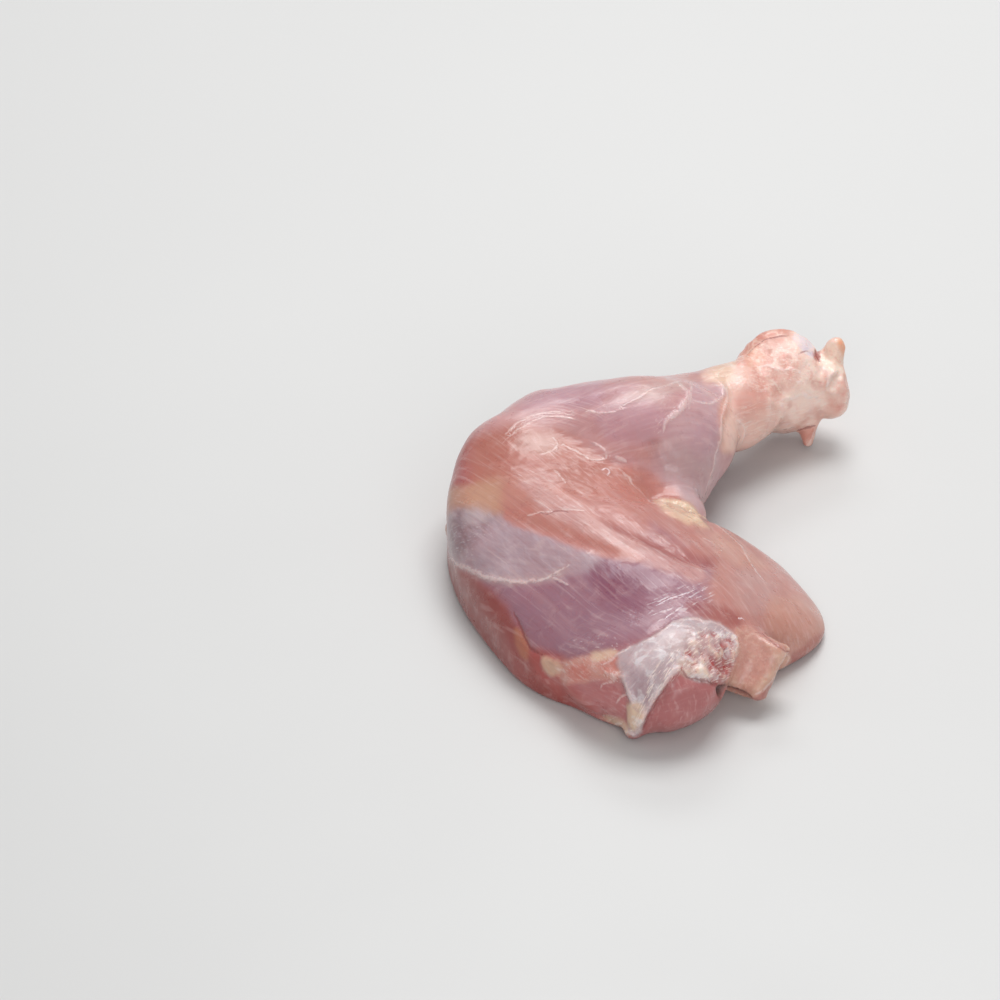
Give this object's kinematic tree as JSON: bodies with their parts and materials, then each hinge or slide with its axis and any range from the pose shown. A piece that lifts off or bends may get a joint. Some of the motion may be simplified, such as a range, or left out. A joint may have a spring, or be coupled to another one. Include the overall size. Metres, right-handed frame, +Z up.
{
  "type": "skinless chicken leg quarter",
  "caption": "Raw skinless poultry leg, thigh and drumstick in one bent piece, lying flat with the hock raised just off the table.",
  "frame": {"origin": "middle of the bounding box in plan, on the table plane that the leg lies on", "axes": "+Z up from the table; +Y from the hip end towards the knee and drumstick, along the longest side; +X towards the hock"},
  "size_m": [0.1276, 0.1816, 0.0432],
  "materials": {
    "raw_chicken": "moist raw poultry flesh, soft satin sheen with glossy wet streaks"
  },
  "bodies": {
    "root": {"leg_quarter": "raw_chicken"}
  },
  "joints": []
}
